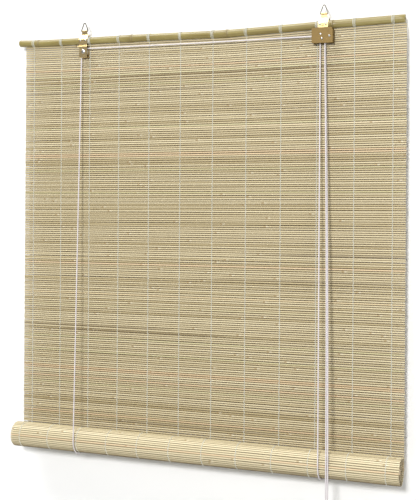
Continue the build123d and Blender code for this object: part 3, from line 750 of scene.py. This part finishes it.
def makeRoll():
    s = rollSizes
    rng = random.Random(matSizes["seed"] + 1)
    long, short = slatTemplate(7, "rollSlatTemplate"), slatTemplate(1, "innerSlatTemplate")
    bm = bmesh.new()
    specs, templates = [], []
    angles = rollAngles()
    for start, end in zip(angles, angles[1:]):
        angle = (start + end) / 2
        turnsIn = angle / (2 * math.pi)
        run = s["run"] - s["turnPitch"] * turnsIn
        outer = turnsIn < 1.1
        spec = slatSpec(rng, s["wave"])
        # painted shade: the slats on the roll's underside get a darker tone and darker split edges in place
        # of the shadow under the roll
        paintedShade = math.exp(-(((angle % (2 * math.pi)) - s["shadeAngle"]) ** 2) / s["shadeSpread"])
        spec["tone"] = s["tone"] + s["toneShare"] * spec["tone"] - s["shadeDepth"] * paintedShade
        spec["edge"] *= s["edgeShadeLeast"] + (1 - s["edgeShadeLeast"]) * paintedShade
        inset = 0 if outer else min(3.2, turnsIn * 0.55) + rng.uniform(0, 1.4)
        template = long if outer else short
        height = min(spec["height"], (end - start) * run * s["slatFill"])

        def place(co, spec=spec, angle=angle, run=run, outer=outer, inset=inset, height=height):
            x = spec["left"] + inset + (spec["right"] - spec["left"] - 2 * inset) * co.x
            along = co.z * height / 2 + (slatWave(spec, co.x) if outer else 0)
            # the slat's front faces the middle of the roll
            out = run + co.y * spec["thick"] / 2
            y = s["y"] + out * math.cos(angle) + along * math.sin(angle)
            z = s["z"] - out * math.sin(angle) + along * math.cos(angle)
            return Vector((x, y, z)) * mm

        addCopy(bm, template, place)
        specs.append(spec)
        templates.append(template)
    piece = makePiece(bm, "rolledSlats", None, "bamboo_slats", ["mat_roll"], 60, False)
    addTones(piece.data, specs, templates)
    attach(piece, "roll")
    return piece


liftRange = 0.735
hangingSlats = makeHangingMat()
rolledSlats = makeRoll()
print("slats made")


# ---- warp threads ----
threadSizes = {
    "count": 12,
    "first": 21.0,
    "pitch": 65.6,
    "growth": 0.6,
    "radius": 0.62,
    "spread": 0.6,
    "stand": 0.3,       # how far a thread's middle stands off the slats
    "tieRadius": 0.46,
    "tieStand": 0.62,
}


def threadPlaces():
    t = threadSizes
    start = matSizes["left"] + t["first"]
    return [start + t["pitch"] * i + t["growth"] * i * (i - 1) / 2 for i in range(t["count"])]


def makeMatThreads():
    t = threadSizes
    bm = bmesh.new()
    rng = random.Random(21)
    half = matSizes["slatThickness"] / 2 + t["stand"]
    for x in threadPlaces():
        sway = [rng.uniform(-0.25, 0.25) for _ in range(matSizes["count"] + 1)]
        for strand in (-1, 1):
            line = []
            for j in range(matSizes["count"]):
                z = slatMiddle(j, x)
                side = strand if j % 2 else -strand
                off = strand * t["spread"] + sway[j]
                line.append(Vector((x + off, side * half, z + 1.15)) * mm)
                line.append(Vector((x + off, side * half, z - 1.15)) * mm)
                line.append(Vector((x + (sway[j] + sway[j + 1]) / 2, 0, z - matStep / 2)) * mm)
            addTube(bm, line[:-1], t["radius"] * mm, 4)
    piece = makePiece(bm, "warpThreads", "head", "warp_thread", ["mat_threads"], 70)
    return piece


def makePoleTies():
    # each warp thread goes four times round the pole, a little crossed
    t = threadSizes
    bm = bmesh.new()
    rng = random.Random(22)
    for x in threadPlaces():
        z, radius = poleSmooth(x)
        for off, lean in ((-1.9, 0.8), (-0.75, -0.7), (0.5, 0.9), (1.7, -0.4)):
            lean += rng.uniform(-0.3, 0.3)
            line = []
            for i in range(25):
                angle = 2 * math.pi * i / 24 - math.pi / 2
                r = radius + t["tieStand"] + 0.1 * math.sin(angle * 2 + off)
                across = x + off + lean * math.cos(angle)
                line.append(Vector((across, r * math.cos(angle), z + r * math.sin(angle))) * mm)
            addTube(bm, line, t["tieRadius"] * mm, 6)
    return makePiece(bm, "poleTies", "head", "warp_thread", ["pole_ties"], 70)


def makeRollThreads():
    t = threadSizes
    bm = bmesh.new()
    angles = [a for a in rollAngles() if a < 2 * math.pi + 0.1]
    half = matSizes["slatThickness"] / 2
    for x in threadPlaces():
        for strand in (-1, 1):
            line = []
            for j, (start, end) in enumerate(zip(angles, angles[1:])):
                side = strand if j % 2 else -strand
                for share, out in ((0.2, side), (0.8, side), (1.0, 0)):
                    angle = start + (end - start) * share
                    run = rollSizes["run"] - rollSizes["turnPitch"] * angle / (2 * math.pi)
                    run += out * (half + t["stand"])
                    y = rollSizes["y"] + run * math.cos(angle)
                    z = rollSizes["z"] - run * math.sin(angle)
                    line.append(Vector((x + strand * t["spread"] * abs(out), y, z)) * mm)
            addTube(bm, line, t["radius"] * mm, 4)
    return makePiece(bm, "rollThreads", "roll", "warp_thread", ["roll_threads"], 70)


warpThreads = makeMatThreads()
poleTies = makePoleTies()
rollThreads = makeRollThreads()
print("threads made")


# ---- metal parts: softened copies of the CAD parts ----
def softenedCopy(node, name, body, slotName, width=0.12, sharp=28):
    bm = bmesh.new()
    bm.from_mesh(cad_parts[node].data)
    bmesh.ops.remove_doubles(bm, verts=bm.verts, dist=0.002 * mm)
    bmesh.ops.dissolve_limit(bm, angle_limit=math.radians(1.0), verts=bm.verts, edges=bm.edges)
    edges = [e for e in bm.edges if e.is_manifold and e.calc_face_angle(0) > math.radians(sharp)]
    if width and edges:
        bmesh.ops.bevel(
            bm, geom=edges, offset=width * mm, offset_type="OFFSET", segments=2, profile=0.5,
            affect="EDGES", material=-1, clamp_overlap=True,
        )
    return makePiece(bm, name, body, slotName, [node], 40, False, True)


metalParts = [
    ("left_ring", "leftHangingRing", "left_ring", "steel_wire", 0),
    ("right_ring", "rightHangingRing", "right_ring", "steel_wire", 0),
    ("left_hanger", "leftHangerStrap", "head", "brass_sheet", 0.12),
    ("right_hanger", "rightHangerStrap", "head", "brass_sheet", 0.12),
    ("left_hanger_screws", "leftHangerScrews", "head", "steel_pins", 0.08),
    ("right_hanger_screws", "rightHangerScrews", "head", "steel_pins", 0.08),
    ("left_pulley", "leftPulleyWheel", "left_pulley", "pulley_plastic", 0.15),
    ("left_pulley_axle", "leftPulleyRivet", "head", "steel_pins", 0.1),
    ("lock_front_plate", "lockFrontPlate", "head", "brass_sheet", 0.15),
    ("lock_back_plate", "lockBackPlate", "head", "brass_sheet", 0.15),
    ("lock_cover", "lockCover", "head", "brass_sheet", 0.15),
    ("lock_pulley", "lockPulleyWheel", "lock_pulley", "pulley_plastic", 0.12),
    ("lock_pulley_axle", "lockPulleyRivet", "head", "steel_pins", 0.08),
    ("lock_guide_pin", "lockGuideRivet", "head", "steel_pins", 0.08),
    ("lock_cam", "lockCam", "lock_cam", "brass_cam", 0.08),
    ("lock_cam_pin", "lockCamRivet", "head", "steel_pins", 0.08),
    ("bottom_rod", "bottomRod", "roll", "wood_rod", 0.5),
]
for node, name, body, slotName, width in metalParts:
    part = softenedCopy(node, name, body, slotName, width)
    if node in ("lock_front_plate", "lock_back_plate", "lock_cover"):
        part.data.materials[0] = lockFinish
print("fittings made")


# ---- cords ----
cordSizes = {
    "radius": 1.25,
    "sides": 12,
    "ring": 1.0,
    "plait": 5.0,
    "leftSlingX": -243.5,
    "rightSlingX": 261.0,
    "slingRun": 27.8,
    "holeY": 4.4,
    "backTabDrop": 12.9,
    "leftPulleyDrop": 23.2,
    "leftPulleyRun": 6.2,
    "leftPulleyX": -249.0,
    "leftPulleyY": -8.4,
    "lockPulleyX": 252.5,
    "lockPulleyDrop": 26.8,
    "lockPulleyRun": 5.0,
    "lockFrontY": -10.4,
    "lockBackY": -6.2,
    "lockBottomDrop": 35.0,
    "strapX": 253.0,
    "sheet": 0.8,
    "seam": 0.1,
}
cordSizes["leftPoleZ"] = poleAt(-cordSizes["strapX"])[0]
cordSizes["rightPoleZ"] = poleAt(cordSizes["strapX"])[0]


def frontTangent(y, z):
    c = cordSizes
    dy, dz = y - rollSizes["y"], z - rollSizes["z"]
    angle = math.atan2(dz, dy) + math.acos(c["slingRun"] / math.hypot(dy, dz))
    run = c["slingRun"]
    return rollSizes["y"] + run * math.cos(angle), rollSizes["z"] + run * math.sin(angle)


def cordPiece(name, lines, body, nodes, step=1.0):
    # one piece of cord round lines of points in millimetres
    bm = bmesh.new()
    for line in lines:
        points = [Vector(p) * mm for p in line]
        dense = [points[0]]
        for a, b in zip(points, points[1:]):
            count = max(1, math.ceil((b - a).length / (step * mm)))
            dense += [a.lerp(b, i / count) for i in range(1, count + 1)]
        addTube(bm, dense, cordSizes["radius"] * mm, cordSizes["sides"], cordSizes["plait"] * mm)
    return makePiece(bm, name, body, "cord", nodes, 80)


def squashUp(piece, top, bottom):
    # a piece that hangs between the head and the roll gets its own copy of its mesh
    span = (top - bottom) * mm
    top * mm
    (span - liftRange) / span
    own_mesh(piece)


def arc(centre, radius, fromDegrees, toDegrees, steps, plane="XZ"):
    line = []
    for i in range(steps + 1):
        a = math.radians(fromDegrees + (toDegrees - fromDegrees) * i / steps)
        u, v = radius * math.cos(a), radius * math.sin(a)
        x, y, z = centre
        line.append((x + u, y, z + v) if plane == "XZ" else (x, y + u, z + v))
    return line


def makeLiftCords():
    c = cordSizes
    seam = c["seam"]
    wheelZ = c["leftPoleZ"] - c["leftPulleyDrop"]
    low = c["rightPoleZ"] - c["lockBottomDrop"]
    leftStart = (c["leftPulleyX"] - c["leftPulleyRun"], c["leftPulleyY"], wheelZ)
    rightStart = (c["lockPulleyX"] - c["lockPulleyRun"], c["lockBackY"], low)
    for side, start in (("left", leftStart), ("right", rightStart)):
        slingX = c[side + "SlingX"]
        y, z = frontTangent(start[1], start[2])
        front = [start, (slingX, y, z)]
        piece = cordPiece(f"{side}FrontLiftCord", [front], "head", [f"{side}_lift_cord_front"])
        squashUp(piece, start[2], rollSizes["z"])
        angle = math.degrees(math.atan2(z - rollSizes["z"], y - rollSizes["y"]))
        sling = arc((slingX, rollSizes["y"], rollSizes["z"]), c["slingRun"], angle % 360, 360, 48, "YZ")
        cordPiece(f"{side}CordSling", [sling], "cradle", [f"{side}_cord_sling"])
        topZ = c[f"{side}PoleZ"] - c["backTabDrop"] + c["sheet"]
        top = (math.copysign(c["strapX"], slingX), c["holeY"], topZ)
        bottom = (slingX, rollSizes["y"] + c["slingRun"], rollSizes["z"])
        back = [bottom, top]
        piece = cordPiece(f"{side}BackLiftCord", [back], "head", [f"{side}_lift_cord_back"], step=1.25)
        squashUp(piece, top[2], bottom[2])
    leftUp = (leftStart[0], leftStart[1], wheelZ - seam)
    wheel = (c["leftPulleyX"], c["leftPulleyY"], wheelZ)
    lockZ = c["rightPoleZ"] - c["lockPulleyDrop"]
    lock = (c["lockPulleyX"], c["lockFrontY"], lockZ)
    cross = [leftUp] + arc(wheel, c["leftPulleyRun"], 180, 91, 12)
    middle = Vector(cross[-1]).lerp(Vector(arc(lock, c["lockPulleyRun"], 90, 90, 1)[0]), 0.5)
    cross += [(middle.x, middle.y, middle.z - 0.9)]
    cross += arc(lock, c["lockPulleyRun"], 90, 0, 10) + [(lock[0] + c["lockPulleyRun"], lock[1], low)]
    cordPiece("crossCord", [cross], "head", ["cross_cord"])
    back = (c["lockPulleyX"], c["lockBackY"], lockZ)
    over = [(rightStart[0], rightStart[1], low)] + arc(back, c["lockPulleyRun"], 180, 0, 16)
    over += [(back[0] + c["lockPulleyRun"], back[1], low)]
    cordPiece("rightLockCord", [over], "head", ["right_lock_cord"])


def makeKnots():
    # overhand knots that stop the lift cords on the hangers' back tabs
    c = cordSizes
    bm = bmesh.new()
    for side, x in (("left", -c["strapX"]), ("right", c["strapX"])):
        seat = c[f"{side}PoleZ"] - c["backTabDrop"] + c["sheet"] / 2
        line = []
        for i in range(73):
            t = 2 * math.pi * i / 72
            u = math.sin(t) + 2 * math.sin(2 * t)
            v = math.cos(t) - 2 * math.cos(2 * t)
            w = -math.sin(3 * t)
            line.append(Vector((x + u * 0.62, c["holeY"] + v * 0.62, seat + 2.2 + w * 0.95)) * mm)
        addTube(bm, line, 1.15 * mm, 10, c["plait"] * mm, closed=True)
    return makePiece(bm, "liftCordKnots", "head", "cord", ["lift_cord_knots"], 80)


makeLiftCords()
makeKnots()
print("lift cords made")


# ---- pull cords, coil and bell ----
pullSizes = {
    "pairX": 277.9,
    "pairPitch": 3.4,
    "slack": 2.0,
    "dropLength": 60.0,
    "coilRadius": 14.5,
    "layers": 3,
    "tieGap": 0.3,
    "tieThickness": 1.0,
    "bellBelow": 7.0,
    "bellLength": 27.5,
    "hollowDepth": 10.5,
    "bellPitch": 2.6,
    "knotRadius": 4.6,
    "pointsPerTurn": 14,
    # the layer and column of each turn of a strand, column 0 next to the other strand
    "turnCells": [
        (2, 0), (1, 0), (0, 0), (0, 1), (1, 1), (1, 2), (0, 2), (0, 3), (1, 3), (2, 3), (2, 2), (2, 1),
    ],
}


def pullRoute(side):
    # the points of the pull cord's route from the lock to the front of the roll
    c, p = cordSizes, pullSizes
    x0 = c["lockPulleyX"] + c["lockPulleyRun"]
    y0 = c["lockFrontY"] if side < 0 else c["lockBackY"]
    z0 = c["rightPoleZ"] - c["lockBottomDrop"]
    x1 = p["pairX"] + side * p["pairPitch"] / 2
    y1 = rollSizes["y"] - c["slingRun"]
    points = [(x0, y0, z0 - c["seam"])]
    for share in (0.3, 0.62):
        bow = p["slack"] * math.sin(math.pi * share)
        z = z0 + (rollSizes["z"] - z0) * share
        points.append((x0 + (x1 - x0) * share + bow, y0 + (y1 - y0) * share, z))
    points.append((x1, y1, rollSizes["z"] + 14))
    points.append((x1, y1, rollSizes["z"]))
    return [Vector(q) * mm for q in points]


def coilMiddle():
    p = pullSizes
    c, s = cordSizes, rollSizes
    outer = p["coilRadius"] + p["layers"] * c["radius"] + p["tieGap"] + p["tieThickness"]
    return Vector((p["pairX"], s["y"] - c["slingRun"], s["z"] - p["dropLength"] - c["seam"] - outer))


def bellTop():
    p = pullSizes
    return coilMiddle().z - p["coilRadius"] - p["layers"] * cordSizes["radius"] - p["bellBelow"]


def coilRoute(side):
    # straight down, twelve turns laid side by side in three layers, then down through the bell
    c, p = cordSizes, pullSizes
    middle = coilMiddle()
    pitch = 2 * c["radius"]
    x, y = p["pairX"] + side * p["pairPitch"] / 2, middle.y
    top = middle.z + p["coilRadius"] + pitch
    points = [(x, y, rollSizes["z"] - down) for down in (0, 20, 42)]
    points.append((x, y, top + 2.5))
    points.append((x, y + side * 0.6, top + 0.2))
    per = p["pointsPerTurn"]
    cells = p["turnCells"]
    swell = 1 / math.cos(math.pi / per)
    for turn, (layer, column) in enumerate(cells):
        last = turn == len(cells) - 1
        after = cells[min(turn + 1, len(cells) - 1)]
        for i in range(1 if turn == 0 else 0, per // 2 - 1 if last else per):
            # each turn moves to its next place one point sooner than the turn before it
            lay, col = (layer, column) if i < per - 1 - turn else after
            r = (p["coilRadius"] + (lay - 1) * pitch) * swell
            angle = math.pi / 2 - side * 2 * math.pi * i / per
            across = y + side * (col + 0.5) * pitch
            points.append((middle.x + r * math.cos(angle), across, middle.z + r * math.sin(angle)))
    bellX = p["pairX"] + side * p["bellPitch"] / 2
    low = middle.z - p["coilRadius"] - pitch
    points.append((bellX - side * 3.5, y + side * 2.6, low + 0.2))
    points.append((bellX, y + side * 0.8, low - 2.2))
    points.append((bellX, y, bellTop() + 1.0))
    points.append((bellX, y, bellTop() - 9.0))
    points.append((bellX, y, bellTop() - p["bellLength"] + p["hollowDepth"] - 0.2))
    return [Vector(q) * mm for q in points]


def cordAlong(name, line, nodes, body):
    # a cord of braid along a line of points in metres
    c = cordSizes
    bm = bmesh.new()
    addTube(bm, line, c["radius"] * mm, c["sides"], c["plait"] * mm)
    piece = makePiece(bm, name, body, "cord", nodes, 80)
    tuple(line[0])
    lineLength(line)
    2 * c["radius"] * mm
    [tuple(q) for q in line]
    return piece


def makePullCords():
    taken = {"left": ["left_pull_drop", "pull_cord_coil"], "right": ["right_pull_drop", "pull_cord_ends"]}
    for name, side in (("left", -1), ("right", 1)):
        route = pullRoute(side)
        line = splineLine(name + "PullRoute", route, 200)
        upper = cordAlong(name + "PullCord", line, [name + "_pull_cord"], "head")
        squashUp(upper, route[0].z / mm, rollSizes["z"])
        line = splineLine(name + "CoilRoute", coilRoute(side), 6)
        lower = cordAlong(name + "PullEnd", line, taken[name], None)
        head, foot = Vector(line[0]), Vector(line[0])
        foot.z -= pullSizes["dropLength"] * mm
        tuple(head)
        tuple(foot)
        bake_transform(lower)


def makeBellKnot():
    # the two cord ends tied in one thick overhand knot under the bell's ceiling, with short tails
    c, p = cordSizes, pullSizes
    middle = coilMiddle()
    ceiling = bellTop() - p["bellLength"] + p["hollowDepth"] - 0.2
    centre = Vector((middle.x, middle.y, ceiling - p["knotRadius"]))
    bm = bmesh.new()
    for shift in (-1, 1):
        line = []
        for i in range(97):
            t = 2 * math.pi * i / 96
            u = math.sin(t) + 2 * math.sin(2 * t)
            v = math.cos(t) - 2 * math.cos(2 * t)
            w = -math.sin(3 * t)
            line.append((centre + Vector((u * 1.05, v * 1.05, w * 1.5 + shift * 1.15))) * mm)
        addTube(bm, line, c["radius"] * mm, c["sides"], c["plait"] * mm, closed=True)
        steps = [(1.2, 0.4, -1.5), (1.7, 0.8, -5.5), (2.6, 1.0, -9.0 + shift * 0.8)]
        tail = [(centre + Vector((shift * u, shift * v, w))) * mm for u, v, w in steps]
        addTube(bm, splineLine("tail", tail, 12), c["radius"] * mm, c["sides"], c["plait"] * mm)
    return makePiece(bm, "bellKnot", "pull_end", "cord", ["bell_knot"], 80)


makePullCords()
makeBellKnot()
print("pull cords made")


def makeBell():
    # turned wooden bell, its outline spun round the cord
    p = pullSizes
    middle = coilMiddle()
    top = bellTop()
    outer = [(2.9, 0.0), (3.5, 0.0), (4.0, -0.5), (4.35, -1.6), (4.9, -3.4), (5.9, -6.6), (6.9, -10.2)]
    outer += [(7.7, -13.8), (8.3, -17.2), (8.5, -18.4), (8.3, -18.8), (8.3, -19.4), (8.6, -19.8)]
    outer += [(8.8, -22.0), (8.6, -24.4), (8.1, -26.6), (7.5, -27.3), (6.9, -27.5), (6.3, -27.2)]
    ceiling = p["hollowDepth"] - p["bellLength"]
    inner = [(6.2, -26.0), (6.2, ceiling - 0.8), (5.4, ceiling), (2.9, ceiling)]
    bm = bmesh.new()
    verts = [bm.verts.new(Vector((middle.x + r, middle.y, top + z)) * mm) for r, z in outer + inner]
    for a, b in zip(verts, verts[1:] + verts[:1]):
        bm.edges.new((a, b))
    bmesh.ops.spin(
        bm, geom=bm.verts[:] + bm.edges[:], cent=(middle.x * mm, middle.y * mm, 0), axis=(0, 0, 1),
        angle=2 * math.pi, steps=48, use_merge=True,
    )
    return makePiece(bm, "pullBell", "pull_end", "bell_wood", ["pull_bell"], 50)


makeBell()
softenedCopy("coil_tie", "coilTie", "pull_end", "tie_band", 0.25)
print("bell made")

squashUp(hangingSlats, matTopMean, rollSizes["z"])
squashUp(warpThreads, matTopMean, rollSizes["z"])


# ---- wall, floor, lights and camera ----
stageSizes = {
    "wallY": 0.024,
    "floorZ": -2.75,
    "key": 112.0,
    "overhead": 240.0,
    "fill": 32.0,
    "back": 20.0,
    "world": 0.145,
}


def stagePlane(name, place, turn, finish):
    bm = bmesh.new()
    bmesh.ops.create_grid(bm, x_segments=1, y_segments=1, size=6.0, matrix=Matrix.Translation(place) @ turn)
    mesh = bpy.data.meshes.new(name)
    bm.to_mesh(mesh)
    bm.free()
    mesh.materials.append(finish)
    plane = bpy.data.objects.new(name, mesh)
    bpy.context.scene.collection.objects.link(plane)
    return plane


def paleStage(name, colour):
    # pale matt paint that takes the shadows; from behind, as if the wall weren't there
    f = Finish(name)
    behind = f.add("ShaderNodeNewGeometry", {}, {}, "Backfacing")
    clear = f.add("ShaderNodeBsdfTransparent", {}, {})
    both = f.add("ShaderNodeMixShader", {}, {0: behind, 1: Wire(f, f.shader.outputs[0]), 2: clear})
    f.tree.links.new(both.socket, f.tree.nodes["Material Output"].inputs["Surface"])
    tex = f.noise((3, 3, 3), 2, 0.5)
    other = tuple(c * 0.96 for c in colour)
    f.shade({"Base Color": f.mix(tex, colour, other), "Roughness": 0.9, "Specular IOR Level": 0.1})
    return f.material


upright = Matrix.Rotation(math.pi / 2, 4, "X")
wall = stagePlane("wall", (0, stageSizes["wallY"], 0), upright, paleStage("wall paint", (0.9, 0.9, 0.89)))
# the light behind the blind reaches its back through the wall
wall.visible_shadow = False
floorPaint = paleStage("floor paint", (0.72, 0.72, 0.71))
stagePlane("floor", (0, 0, stageSizes["floorZ"]), Matrix.Identity(4), floorPaint)


def areaLight(name, place, aim, size, power):
    data = bpy.data.lights.new(name, "AREA")
    data.shape = "DISK"
    data.size = size
    data.energy = power
    lamp = bpy.data.objects.new(name, data)
    lamp.location = place
    lamp.rotation_mode = "QUATERNION"
    lamp.rotation_quaternion = (Vector(aim) - Vector(place)).to_track_quat("-Z", "Y")
    bpy.context.scene.collection.objects.link(lamp)


areaLight("keyLight", (0.37, -3.56, 0.6), (0.0, 0.0, -0.4), 0.7, stageSizes["key"])
areaLight("fillLight", (3.2, -2.4, 0.4), (0.2, 0.0, -0.5), 1.5, stageSizes["fill"])
areaLight("overheadLight", (-1.7, -1.6, 4.2), (0.0, 0.0, -0.4), 3.2, stageSizes["overhead"])
areaLight("backLight", (-0.5, 3.0, 0.9), (0.0, 0.0, -0.4), 2.0, stageSizes["back"])

world = bpy.data.worlds.new("studio")
world.use_nodes = True
sky = world.node_tree.nodes["Background"]
sky.inputs["Color"].default_value = (1, 1, 1, 1)
# white to the camera, dimmer as a light
seen = world.node_tree.nodes.new("ShaderNodeLightPath")
brightness = world.node_tree.nodes.new("ShaderNodeMapRange")
brightness.inputs["To Min"].default_value = stageSizes["world"]
brightness.inputs["To Max"].default_value = 1.0
world.node_tree.links.new(seen.outputs["Is Camera Ray"], brightness.inputs["Value"])
world.node_tree.links.new(brightness.outputs["Result"], sky.inputs["Strength"])
bpy.context.scene.world = world

cameraSizes = {
    "place": (0.741, -1.782, -0.399),
    "yaw": -21.9,
    "roll": 0.39,
    "lens": 70.99,
    "shiftUp": -0.062,
}


def makeCamera():
    c = cameraSizes
    yaw, roll = math.radians(c["yaw"]), math.radians(c["roll"])
    forward = Vector((math.sin(yaw), math.cos(yaw), 0))
    level = Vector((math.cos(yaw), -math.sin(yaw), 0))
    up = Vector((0, 0, 1))
    right = level * math.cos(roll) + up * math.sin(roll)
    top = up * math.cos(roll) - level * math.sin(roll)
    data = bpy.data.cameras.new("camera")
    data.lens = c["lens"]
    data.sensor_width = 36.0
    data.sensor_fit = "AUTO"
    data.shift_y = c["shiftUp"]
    data.clip_start = 0.05
    data.clip_end = 50.0
    camera = bpy.data.objects.new("camera", data)
    basis = Matrix((right, top, -forward)).transposed().to_4x4()
    camera.matrix_world = Matrix.Translation(c["place"]) @ basis
    bpy.context.scene.collection.objects.link(camera)
    bpy.context.scene.camera = camera


makeCamera()
bpy.context.scene.view_settings.view_transform = "Standard"
print("stage made")
